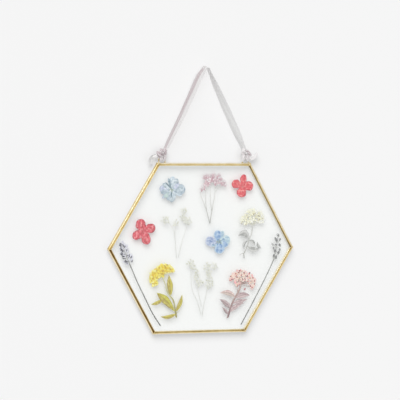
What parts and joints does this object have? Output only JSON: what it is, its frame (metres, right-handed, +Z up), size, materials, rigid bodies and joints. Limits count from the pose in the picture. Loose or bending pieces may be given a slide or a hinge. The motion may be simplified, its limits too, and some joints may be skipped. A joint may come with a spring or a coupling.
{
  "type": "pressed flower frame",
  "caption": "Hexagonal brass and double-glass frame holding pressed flowers, hung from a ribbon tied to wire loops on its top rail.",
  "frame": {"origin": "the hanging point, at the top of the ribbon's bend", "axes": "+X to the frame's right seen from the front, +Y towards its back, +Z up"},
  "size_m": [0.1998, 0.0099, 0.27],
  "materials": {
    "babys_breath": "dry, matt, pressed plant",
    "blue_grey_petals": "dry, matt, pressed plant",
    "brass": "polished, softly worn",
    "cream_petals": "dry, matt, pressed plant",
    "glass": "clear",
    "grey_leaves": "dry, matt, pressed plant",
    "lavender_buds": "dry, matt, pressed plant",
    "lavender_stems": "dry, matt, pressed plant",
    "mauve_leaves": "dry, matt, pressed plant",
    "olive_leaves": "dry, matt, pressed plant",
    "pale_stems": "dry, matt, pressed plant",
    "pink_spray_petals": "dry, matt, pressed plant",
    "red_petals": "dry, matt, pressed plant",
    "ribbon_satin": "semi-sheer satin",
    "rose_petals": "dry, matt, pressed plant",
    "sky_blue_petals": "dry, matt, pressed plant",
    "yellow_petals": "dry, matt, pressed plant"
  },
  "bodies": {
    "root": {"babys_breath_lower_left": "babys_breath", "babys_breath_lower_middle": "babys_breath", "babys_breath_lower_right": "babys_breath", "babys_breath_upper_left": "babys_breath", "babys_breath_upper_right": "babys_breath", "blue_grey_floret": "blue_grey_petals", "cream_umbel_head": "cream_petals", "cream_umbel_leaf_left": "grey_leaves", "cream_umbel_leaf_lower": "grey_leaves", "cream_umbel_leaf_right": "grey_leaves", "cream_umbel_leaf_tip": "grey_leaves", "cream_umbel_leaf_upper": "grey_leaves", "cream_umbel_stem": "grey_leaves", "knot_left": "ribbon_satin", "knot_right": "ribbon_satin", "lavender_left_spike": "lavender_buds", "lavender_left_stem": "lavender_stems", "lavender_right_spike": "lavender_buds", "lavender_right_stem": "lavender_stems", "pane_back": "glass", "pane_front": "glass", "pink_spray_head": "pink_spray_petals", "pink_spray_stems": "pale_stems", "rail_bottom": "brass", "rail_lower_left": "brass", "rail_lower_right": "brass", "rail_top": "brass", "rail_upper_left": "brass", "rail_upper_right": "brass", "red_floret_left": "red_petals", "red_floret_upper": "red_petals", "ribbon_left": "ribbon_satin", "ribbon_right": "ribbon_satin", "rose_umbel_head": "rose_petals", "rose_umbel_leaf_left_low": "mauve_leaves", "rose_umbel_leaf_left_middle": "mauve_leaves", "rose_umbel_leaf_left_upper": "mauve_leaves", "rose_umbel_leaf_right_low": "mauve_leaves", "rose_umbel_leaf_right_middle": "mauve_leaves", "rose_umbel_leaf_right_upper": "mauve_leaves", "rose_umbel_loose_floret": "rose_petals", "rose_umbel_stem": "mauve_leaves", "sky_blue_floret": "sky_blue_petals", "wire_loop_left": "brass", "wire_loop_right": "brass", "yellow_umbel_head": "yellow_petals", "yellow_umbel_leaf_large": "olive_leaves", "yellow_umbel_leaf_low": "olive_leaves", "yellow_umbel_leaf_right": "olive_leaves", "yellow_umbel_leaf_small": "olive_leaves", "yellow_umbel_leaf_upright": "olive_leaves", "yellow_umbel_stem": "olive_leaves"}
  },
  "joints": []
}
